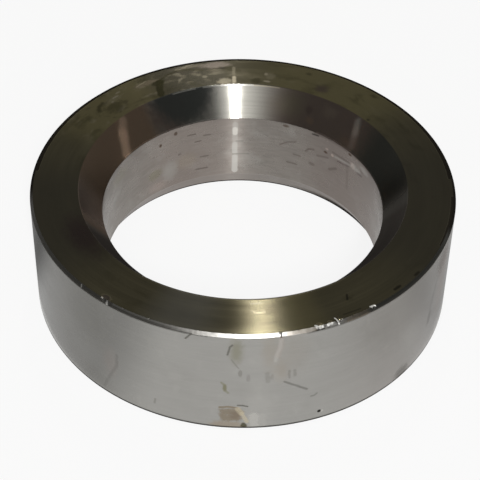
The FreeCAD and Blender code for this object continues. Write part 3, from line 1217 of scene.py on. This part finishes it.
RIM = Finish(
    "bright_rim", (0.33, 0.32, 0.30), 0.355, 0.0, Along.DEPTH,
    pitch=0.3, drift=60.0, line_contrast=0.12, line_depth=0.004, band_contrast=0.15,
    layers=(
        Cloud(DirtAndLight.GREY, 3.0, 0.5, 0.75, 0.5, 1.5, 1.1),
        # dark stretches round the rim, black at the back: a dark film, and painted shade where the chamfer
        # mirrors the dark room
        Sector(DirtAndLight.OIL, 97.5, 157.5, 8.0, 0.92),
        Sector(DirtAndLight.SHADE, 325.0, 22.0, 6.0, 0.50),
        Sector(DirtAndLight.BLACK, 84.0, 104.0, 5.0, 0.97),
        # painted highlight along the chamfer's upper edge, painted shade along its lower edge
        Stroke(DirtAndLight.PALE, ((236.0, 0.2), (262.0, 0.2)), 0.20, 0.35),
        Stroke(DirtAndLight.BLACK, ((205.0, 1.0), (258.0, 1.0)), 0.22, 0.60),
        Stroke(DirtAndLight.BLACK, ((288.0, 1.0), (338.0, 1.0)), 0.22, 0.60),
        # chips of bare metal painted white as glints, painted shadows beside and under them, and stains
        Stroke(DirtAndLight.FRESH, ((225.0, 0.3), (225.3, 0.7)), 0.22, 0.30),
        Stroke(DirtAndLight.FRESH, ((233.8, 0.0), (234.4, 0.8)), 0.35, 0.45, 0.5, 0.5),
        Stroke(DirtAndLight.BLACK, ((235.2, 0.0), (235.4, 0.9)), 0.25, 0.80),
        Stroke(DirtAndLight.BLACK, ((280.2, 0.0), (280.2, 1.0)), 0.22, 0.80),
        Stroke(DirtAndLight.FRESH, ((289.4, 0.1), (290.9, 0.25)), 0.38, 0.95, 0.4, 0.5),
        Stroke(DirtAndLight.FRESH, ((290.1, 0.2), (290.2, 0.75)), 0.30, 0.90, 0.4, 0.5),
        Stroke(DirtAndLight.BLACK, ((289.0, 0.9), (291.2, 0.95)), 0.20, 0.90),
        Mark(DirtAndLight.GREY, 291.5, 0.30, 0.4, 0.5, 0.80),
        Stroke(DirtAndLight.FRESH, ((292.3, 0.3), (293.6, 0.1)), 0.32, 0.92, 0.4, 0.5),
        Stroke(DirtAndLight.FRESH, ((295.2, 0.0), (295.2, 0.9)), 0.22, 0.90, 0.4),
        Stroke(DirtAndLight.STAIN, ((282.0, 0.5), (289.0, 0.5)), 0.50, 0.40, 0.8, 0.8),
        Mark(DirtAndLight.STAIN, 300.5, 3.5, 0.5, 3.0, 0.50),
        Stroke(DirtAndLight.FRESH, ((305.3, 0.1), (306.3, 0.15)), 0.25, 0.85, 0.4, 0.5),
    ),
)

LEAD_IN = Finish(
    "polished_lead_in", (0.30, 0.29, 0.26), 0.19, 1.0, Along.DEPTH,
    pitch=0.6, drift=1.2, line_contrast=0.06, line_depth=0.001, band_contrast=0.08,
    layers=(
        # brown tarnish on the left, with two pale rubs
        Sector(DirtAndLight.MAROON, 166.0, 37.0, 4.0, 0.95),
        Sector(DirtAndLight.PINK, 188.0, 9.0, 6.0, 0.50),
        Stroke(DirtAndLight.RUSSET, ((141.8, 1.0), (145.0, 5.0)), 1.6, 0.55, 0.8, 0.15),
        Stroke(DirtAndLight.RUSSET, ((144.6, 4.0), (147.0, 7.5), (149.0, 10.0)), 1.7, 0.95, 0.7, 0.15),
        # painted highlight widening the highlight's left shoulder, and a dark smear beside the highlight
        Sector(DirtAndLight.BRIGHT, 99.5, 2.0, 2.0, 0.30),
        Sector(DirtAndLight.GREY, 110.0, 6.0, 3.0, 0.55),
        Mark(DirtAndLight.UMBER, 122.0, 8.0, 6.0, 7.5, 0.85, softness=0.45),
        Mark(DirtAndLight.SLATE, 115.2, 12.2, -1.0, 10.8, 0.95, -0.05, 0.25, 0.16),
        # tarnish on the right, with painted shade over its right end
        Sector(DirtAndLight.UMBER, 41.0, 38.0, 9.0, 0.92),
        Sector(DirtAndLight.SHADE, 18.0, 18.0, 9.0, 0.92),
        Stroke(DirtAndLight.PALE, ((42.3, 1.5), (40.8, 4.6)), 1.2, 0.60, 0.8, 0.3),
        Stroke(DirtAndLight.PINK, ((40.8, 4.6), (39.4, 8.6)), 1.3, 0.36, 0.8, 0.3),
        Mark(DirtAndLight.MAROON, 43.0, 2.6, 8.6, 1.4, 0.40, softness=0.8),
        Mark(DirtAndLight.OILY, 71.0, 5.0, 4.0, 3.5, 0.40, softness=0.9),
        Mark(DirtAndLight.TAN, 76.0, 4.0, 5.5, 2.2, 0.25, softness=0.9),
        Mark(DirtAndLight.PURPLE, 63.5, 1.4, 4.5, 1.2, 0.40),
        Mark(DirtAndLight.MAROON, 62.0, 1.6, 7.5, 1.0, 0.50),
        Mark(DirtAndLight.TAN, 55.0, 3.0, 3.0, 1.6, 0.30, softness=0.6, ragged=0.8),
        # painted shade on the lead-in's sides, where it mirrors the dark room
        Sector(DirtAndLight.SOOT, 218.0, 18.0, 7.0, 0.92),
        Sector(DirtAndLight.SOOT, 330.0, 27.0, 8.0, 0.88),
        Sector(DirtAndLight.INK, 3.0, 9.0, 8.0, 0.55),
        # painted highlight along the upper edge at the back, and dark lines along the lower edge
        Stroke(DirtAndLight.CREAM, ((77.0, 0.25), (87.0, 0.25)), 0.18, 0.50),
        Stroke(DirtAndLight.BRIGHT, ((87.0, 0.25), (99.0, 0.25)), 0.20, 0.80),
        Stroke(DirtAndLight.BRIGHT, ((99.0, 0.25), (106.0, 0.25)), 0.16, 0.60),
        Stroke(DirtAndLight.BRIGHT, ((109.0, 0.25), (118.0, 0.25)), 0.16, 0.60),
        Stroke(DirtAndLight.SOOT, ((103.0, 10.1), (150.0, 10.1)), 0.25, 0.60, 0.5, 0.7),
        Stroke(DirtAndLight.SOOT, ((0.0, 10.1), (57.0, 10.1)), 0.25, 0.70, 0.5, 0.7),
    ),
)

BORE = Finish(
    "smeared_bore", (0.255, 0.232, 0.210), 0.28, 1.0, Along.DEPTH,
    pitch=0.9, drift=6.0, line_contrast=0.07, line_depth=0.0012, band_contrast=0.06,
    layers=(
        Cloud(DirtAndLight.PALE, 10.0, 0.5, 0.8, 0.40, 1.6, 1.7),
        Cloud(DirtAndLight.GREY, 2.2, 0.58, 0.72, 0.50, 4.0, 6.2),
        Sector(DirtAndLight.MAUVE, 35.0, 24.0, 12.0, 0.55),
        Sector(DirtAndLight.PINK, 116.0, 20.0, 14.0, 0.24),
        Mark(DirtAndLight.MAUVE, 120.0, 15.0, 34.0, 10.0, 0.30, softness=0.8),
        # smears left of the highlight
        Mark(DirtAndLight.OILY, 156.0, 6.0, 15.5, 2.8, 0.30, softness=0.6),
        Mark(DirtAndLight.PINK, 131.0, 4.5, 34.8, 2.2, 0.30, softness=0.5),
        Mark(DirtAndLight.TAN, 116.3, 4.6, 27.6, 3.4, 0.35, softness=0.5),
        Mark(DirtAndLight.PALE, 124.6, 3.6, 29.6, 4.4, 0.40, softness=0.6),
        Mark(DirtAndLight.OILY, 132.5, 3.6, 28.3, 2.4, 0.45, softness=0.4),
        Mark(DirtAndLight.RUST, 121.2, 0.8, 12.7, 0.8, 0.70),
        Mark(DirtAndLight.RUST, 129.0, 0.7, 15.5, 0.7, 0.80),
        Stroke(DirtAndLight.SMEAR, ((111.8, 15.5), (115.4, 15.5)), 0.30),
        Stroke(DirtAndLight.SMEAR, ((105.0, 17.0), (108.0, 17.0)), 0.30),
        Stroke(DirtAndLight.SMEAR, ((109.4, 19.4), (112.0, 19.4)), 0.30),
        Mark(DirtAndLight.SMEAR, 119.5, 0.8, 23.3, 0.5, 0.60),
        Stroke(DirtAndLight.SMEAR, ((106.0, 27.3), (109.4, 27.3)), 0.35),
        Stroke(DirtAndLight.SMEAR, ((106.6, 33.2), (112.0, 33.2)), 0.35),
        # painted highlight: a narrow bright streak down the bore at the back, with two dark dashes across
        # it
        Stroke(DirtAndLight.PALE, ((94.0, 13.0), (94.0, 36.0)), 1.05, 0.30, 0.3, 0.2),
        Stroke(DirtAndLight.BRIGHT, ((94.0, 15.4), (94.0, 17.4)), 1.0, 0.50, 0.25, 0.15),
        Stroke(DirtAndLight.PALE, ((94.1, 22.8), (94.1, 26.6)), 1.0, 0.45, 0.25, 0.15),
        Stroke(DirtAndLight.PALE, ((94.0, 29.2), (94.0, 35.8)), 1.15, 0.55, 0.2, 0.1),
        Stroke(DirtAndLight.GREY, ((90.5, 21.3), (93.5, 21.3)), 0.30, 0.60),
        Stroke(DirtAndLight.GREY, ((88.0, 27.6), (95.0, 27.7)), 0.30, 0.60),
        # spots and dashes on the right
        Stroke(DirtAndLight.SMEAR, ((20.0, 10.7), (40.0, 10.7), (58.0, 10.7)), 0.35, 0.60, 0.5, 0.6),
        Stroke(DirtAndLight.SMEAR, ((28.4, 14.0), (34.6, 14.8)), 0.45, 0.60),
        Mark(DirtAndLight.PALE, 27.0, 3.0, 12.6, 1.2, 0.40),
        Mark(DirtAndLight.PINK, 35.5, 1.6, 15.3, 1.3, 0.60),
        Stroke(DirtAndLight.SMEAR, ((38.0, 15.5), (42.7, 15.5)), 0.55, 0.65),
        Stroke(DirtAndLight.SMEAR, ((43.8, 15.6), (47.8, 15.4)), 0.45, 0.65),
        Mark(DirtAndLight.PINK, 48.0, 0.7, 17.0, 0.6, 0.70),
        Mark(DirtAndLight.PINK, 51.2, 0.8, 15.5, 0.6, 0.50),
        Mark(DirtAndLight.RUST, 51.7, 0.9, 17.2, 0.55, 0.75),
        Stroke(DirtAndLight.SMEAR, ((50.4, 19.4), (56.0, 20.7)), 0.45, 0.65),
        Stroke(DirtAndLight.SMEAR, ((45.6, 22.3), (49.3, 24.4)), 0.55, 0.75),
        Stroke(DirtAndLight.SMEAR, ((38.8, 18.0), (38.4, 28.0)), 0.55, 0.40, 0.9),
        Stroke(DirtAndLight.SMEAR, ((58.0, 18.6), (60.4, 19.2), (61.8, 20.7)), 0.40),
        Mark(DirtAndLight.SMEAR, 58.6, 1.6, 26.0, 0.8, 0.60),
        Stroke(DirtAndLight.SMEAR, ((64.3, 24.2), (67.6, 24.2)), 0.35),
        Stroke(DirtAndLight.SMEAR, ((66.0, 28.8), (70.5, 28.8)), 0.35),
        Stroke(DirtAndLight.SMEAR, ((67.0, 18.0), (70.5, 19.0), (74.0, 21.0)), 0.35, 0.60),
        Mark(DirtAndLight.RUST, 71.5, 1.5, 11.5, 0.5, 0.60),
        Stroke(DirtAndLight.BLACK, ((56.0, 11.2), (59.0, 11.4)), 0.30, 0.70),
        Mark(DirtAndLight.RUST, 38.0, 0.9, 11.2, 0.5, 0.80),
        # scuffs under the lead-in on the right
        Stroke(DirtAndLight.PURPLE, ((45.0, 18.3), (41.0, 17.8), (38.0, 17.0)), 0.35, 0.55, 0.8, 0.7),
        Stroke(DirtAndLight.PALE, ((46.5, 17.0), (41.0, 16.5), (36.5, 15.8)), 0.45, 0.35, 0.9, 0.8),
        Mark(DirtAndLight.PALE, 33.5, 2.8, 15.2, 1.2, 0.50, softness=0.8, ragged=0.8),
        Stroke(DirtAndLight.PURPLE, ((32.0, 16.6), (29.0, 16.2)), 0.40, 0.60, 0.7, 0.7),
        # painted shade along the lower end of the bore and its short lead-in
        Band(DirtAndLight.SMEAR, 41.6, 3.6, 0.5, 0.35),
        Mark(DirtAndLight.SMEAR, 158.0, 20.0, 41.5, 4.2, 0.70, softness=0.3, ragged=0.1),
        Mark(DirtAndLight.BLACK, 26.0, 32.0, 43.8, 3.0, 0.92, softness=0.5, ragged=0.1),
        Band(DirtAndLight.BLACK, 44.8, 0.8, 0.30, 0.92),
    ),
)

UNDERSIDE = Finish(
    "faced_underside", (0.30, 0.285, 0.25), 0.38, 0.8, Along.RADIUS,
    pitch=0.7, drift=1.6, line_contrast=0.10, line_depth=0.0015, band_contrast=0.08,
    layers=(Cloud(DirtAndLight.GREY, 8.0, 0.5, 0.75, 0.4, 2.0, 8.0),),
)

FINISHES = {
    Zone.UNDERSIDE: UNDERSIDE,
    Zone.OUTER_FACE: OUTER_FACE,
    Zone.RIM: RIM,
    Zone.TOP_FACE: TOP_FACE,
    Zone.LEAD_IN: LEAD_IN,
    Zone.BORE: BORE,
}


def direction_to(azimuth: float, elevation: float) -> Vector:
    """Return the unit vector towards an azimuth and an elevation in degrees, seen from the ring."""
    turn, rise = math.radians(azimuth), math.radians(elevation)
    return Vector((math.cos(turn) * math.cos(rise), math.sin(turn) * math.cos(rise), math.sin(rise)))


@dataclass(frozen=True)
class Softbox:
    """A studio lamp: a plain lit rectangle that faces the ring.

    Attributes:
        name: the lamp's name.
        azimuth: where it stands round the ring, in degrees.
        elevation: how high above the floor it is seen from the ring, in degrees.
        distance: how far from the ring, in metres.
        width: its width, in metres.
        length: its length, in metres.
        radiance: how bright its face is, where 1 is white.
        colour: its colour.
    """

    name: str
    azimuth: float
    elevation: float
    distance: float
    width: float
    length: float
    radiance: float
    colour: Colour = (1.0, 1.0, 1.0)

    def build(self) -> bpy.types.Object:
        """Hang the lamp and aim it at the ring.

        A lamp's face shines with its power over pi times its area.

        Returns:
            The lamp.
        """
        lamp = bpy.data.lights.new(self.name, "AREA")
        lamp.shape = "RECTANGLE"
        lamp.size = self.width
        lamp.size_y = self.length
        lamp.energy = self.radiance * math.pi * self.width * self.length
        lamp.color = self.colour
        direction = direction_to(self.azimuth, self.elevation)
        stand = add_object(self.name, lamp)
        target = Vector((0.0, 0.0, HEIGHT))
        stand.location = target + direction * self.distance
        stand.rotation_euler = direction.to_track_quat("Z", "Y").to_euler()
        stand.visible_camera = False
        LOG.info("lamp %s at %s", self.name, tuple(round(value, 3) for value in stand.location))
        return stand


@dataclass(frozen=True)
class Glow:
    """A soft patch of light in the room, such as a window far off.

    Attributes:
        azimuth: where it is round the ring, in degrees.
        elevation: how high it is, in degrees.
        spread: angle at which it has faded to about a third, in degrees.
        radiance: how bright its middle is, where 1 is white.
    """

    azimuth: float
    elevation: float
    spread: float
    radiance: float


@dataclass(frozen=True)
class DarkCard:
    """A dark card that lies on the floor beside the ring and shows in the metal only.

    A photographer lays such cards to draw the edges of bright metal. It is a sector of a flat ring
    round the subject that fades out towards both of its ends.

    Attributes:
        name: the card's name.
        azimuth: its middle round the ring, in degrees.
        half_width: half the angle that it covers, in degrees.
        fade: angle over which its ends fade, in degrees.
        darkness: how much of the floor it hides, from 0 to 1.
        lift: how high it lies over the floor, so that cards which overlap don't meet, in metres.
        inner: its inner radius, in metres.
        outer: its outer radius, in metres.
        steps: steps of its round edges.
        colour: colour of its cloth.
    """

    name: str
    azimuth: float
    half_width: float
    fade: float
    darkness: float
    lift: float = 0.03 * MM
    inner: float = OUTER_RADIUS + 1.0 * MM
    outer: float = 0.5
    steps: int = 48
    colour: Colour = (0.01, 0.01, 0.01)

    def build(self) -> bpy.types.Object:
        """Lay the card.

        Returns:
            The card.
        """
        reach = math.radians(self.half_width + self.fade)
        angle = math.radians(self.azimuth) + np.linspace(-reach, reach, self.steps + 1)
        edge = np.stack([np.cos(angle), np.sin(angle), np.zeros_like(angle)], axis=1)
        points = np.concatenate([edge * self.inner, edge * self.outer])
        points[:, 2] = FLOOR_LEVEL + self.lift
        start = np.arange(self.steps)
        quads = np.stack([start, start + len(angle), start + len(angle) + 1, start + 1], axis=1)
        mesh = bpy.data.meshes.new(self.name)
        mesh.from_pydata(points.tolist(), [], quads.tolist())
        mesh.materials.append(self.material())
        card = add_object(self.name, mesh)
        for kind in ("camera", "diffuse", "shadow", "transmission"):
            setattr(card, f"visible_{kind}", False)
        return card

    def material(self) -> bpy.types.Material:
        """Make the card's matt cloth, which thins out towards its ends."""
        material = bpy.data.materials.new(self.name)
        graph = empty_graph(material)
        sector = graph.place(GROUPS["stretch"], Value=place_on_ring(graph)["Azimuth"], Middle=self.azimuth,
                             Half_Width=self.half_width, Fade=self.fade)
        cloth = graph.node("BsdfPrincipled")
        cloth.inputs["Roughness"].default_value = 1.0
        cloth.inputs["Specular IOR Level"].default_value = 0.0
        graph.feed(cloth.inputs["Base Color"], self.colour)
        graph.feed(cloth.inputs["Alpha"], graph.math("MULTIPLY", sector.outputs["Mask"], self.darkness))
        graph.end(cloth.outputs[0])
        return material


@dataclass
class Studio:
    """The pale floor, the soft light, the room and the camera.

    Attributes:
        floor_radius: radius of the floor's disc, in metres.
        floor_sides: sides of the disc.
        floor_colour: colour of its paper.
        floor_lift: how far it is lifted towards white where it is seen or mirrored, from 0 to 1.
        room_colour: colour of the room over the wall.
        wall_colour: colour of the wall at the horizon.
        wall_top: where the wall has faded, as the sine of the elevation.
        glows: the soft patches of light.
        cards: the dark cards beside the ring.
        lamps: the lamps.
        lens: focal length of the camera, in millimetres.
        sensor_width: width of its sensor, in millimetres.
        far_clip: how far it sees, in metres.
        camera_place: where it stands, in metres.
        camera_pitch: how far it looks down from the level, in degrees.
        camera_yaw: its turn about the upright axis, in degrees.
        camera_roll: its turn about its own axis, in degrees.
    """

    floor_radius: float = 8.0
    floor_sides: int = 128
    floor_colour: Colour = (0.86, 0.86, 0.85)
    floor_lift: float = 0.88
    room_colour: Colour = (0.17, 0.17, 0.165)
    wall_colour: Colour = (0.30, 0.30, 0.295)
    wall_top: float = 0.20
    glows: tuple[Glow, ...] = (
        Glow(azimuth=262.0, elevation=41.0, spread=15.0, radiance=0.9),
        Glow(azimuth=275.0, elevation=41.0, spread=10.3, radiance=2.2),
    )
    cards: tuple[DarkCard, ...] = (
        DarkCard("left_card", azimuth=200.0, half_width=35.0, fade=12.0, darkness=0.42),
        DarkCard("left_edge_card", azimuth=153.0, half_width=30.0, fade=8.0, darkness=0.65,
                 lift=0.06 * MM),
        DarkCard("right_card", azimuth=355.0, half_width=45.0, fade=20.0, darkness=0.25),
        DarkCard("right_edge_card", azimuth=0.0, half_width=22.0, fade=10.0, darkness=0.28,
                 lift=0.06 * MM),
    )
    lamps: tuple[Softbox, ...] = (
        Softbox("key", azimuth=277.7, elevation=41.0, distance=1.6, width=0.085, length=0.34,
                radiance=159.0),
        Softbox("strip", azimuth=86.9, elevation=60.0, distance=1.6, width=0.04, length=0.45,
                radiance=27.0),
    )
    lens: float = 120.37
    sensor_width: float = 36.0
    far_clip: float = 50.0
    camera_place: tuple[float, float, float] = (0.0, -0.430896, 0.413686)
    camera_pitch: float = 42.573
    camera_yaw: float = 0.0973
    camera_roll: float = 1.135

    def floor(self) -> bpy.types.Object:
        """Lay the floor: a disc just under the ring.

        Returns:
            The floor.
        """
        angle = np.linspace(0.0, 2 * math.pi, self.floor_sides, endpoint=False)
        rim = np.stack([np.cos(angle), np.sin(angle), np.zeros_like(angle)], axis=1) * self.floor_radius
        rim[:, 2] = FLOOR_LEVEL
        mesh = bpy.data.meshes.new("studio_floor")
        mesh.from_pydata(rim.tolist(), [], [list(range(len(rim)))])
        floor = add_object("studio_floor", mesh)
        mesh.materials.append(self.floor_material())
        return floor

    def floor_material(self) -> bpy.types.Material:
        """Make the floor's paper: matt, and lifted towards white where it is seen or mirrored."""
        material = bpy.data.materials.new("pale_floor")
        graph = empty_graph(material)
        paper = graph.node("BsdfDiffuse")
        graph.feed(paper.inputs["Color"], self.floor_colour)
        glow = graph.node("Emission")
        glow.inputs["Strength"].default_value = 1.0
        path = graph.node("LightPath").outputs
        seen = graph.math("MAXIMUM", path["Is Camera Ray"], path["Is Glossy Ray"])
        seen = graph.math("MAXIMUM", seen, path["Is Transmission Ray"])
        blend = graph.node("MixShader")
        graph.feed(blend.inputs[0], graph.math("MULTIPLY", seen, self.floor_lift))
        graph.feed(blend.inputs[1], paper.outputs[0])
        graph.feed(blend.inputs[2], glow.outputs[0])
        graph.end(blend.outputs[0])
        return material

    def room(self) -> None:
        """Set the world: a dim grey room with a pale wall at the horizon and soft window glows.

        The wall fades upwards. A glow falls off as the exponential of minus the square of the angle
        from its middle over its spread, where the square of a small angle is twice one less its cosine.
        """
        world = bpy.data.worlds.new("studio_room")
        bpy.context.scene.world = world
        graph = empty_graph(world)
        outward = graph.node("TexCoord").outputs["Generated"]
        parts = graph.node("SeparateXYZ")
        graph.feed(parts.inputs[0], outward)
        wall = graph.between(parts.outputs[2], 0.0, self.wall_top, 1.0, 0.0)
        colour = graph.mix(wall, self.room_colour, self.wall_colour)
        for glow in self.glows:
            cosine = graph.node("VectorMath", operation="DOT_PRODUCT")
            graph.feed(cosine.inputs[0], outward)
            graph.feed(cosine.inputs[1], tuple(direction_to(glow.azimuth, glow.elevation)))
            square = graph.math("MULTIPLY", graph.math("SUBTRACT", 1.0, cosine.outputs["Value"]), 2.0)
            share = graph.math("EXPONENT", graph.math("DIVIDE", square, -math.radians(glow.spread) ** 2))
            level = graph.math("MULTIPLY", share, glow.radiance)
            colour = graph.mix(1.0, colour, graph.combine(level, level, level), "ADD")
        background = graph.node("Background")
        graph.feed(background.inputs["Color"], colour)
        background.inputs["Strength"].default_value = 1.0
        graph.end(background.outputs[0], "OutputWorld")

    def camera(self) -> bpy.types.Object:
        """Set the camera at the photograph's viewing angle.

        Its turn is the roll about its own axis, then the tilt up from straight down, then the yaw.

        Returns:
            The camera.
        """
        data = bpy.data.cameras.new("photo_view")
        data.lens = self.lens
        data.sensor_width = self.sensor_width
        data.clip_end = self.far_clip
        camera = add_object("photo_view", data)
        turn = (Matrix.Rotation(math.radians(self.camera_yaw), 4, "Z")
                @ Matrix.Rotation(math.radians(90.0 - self.camera_pitch), 4, "X")
                @ Matrix.Rotation(math.radians(self.camera_roll), 4, "Z"))
        camera.matrix_world = Matrix.Translation(self.camera_place) @ turn
        bpy.context.scene.camera = camera
        return camera

    def build(self) -> None:
        """Make the floor, the room, the lamps, the cards and the camera."""
        self.floor()
        self.room()
        for item in self.lamps + self.cards:
            item.build()
        self.camera()
        bpy.context.scene.view_settings.view_transform = "Standard"


def main() -> None:
    """Build the ring and its studio."""
    logging.basicConfig(level=logging.INFO, format="%(name)s: %(message)s")
    TurnedRing().build()
    Studio().build()


if __name__ == "__main__":
    main()
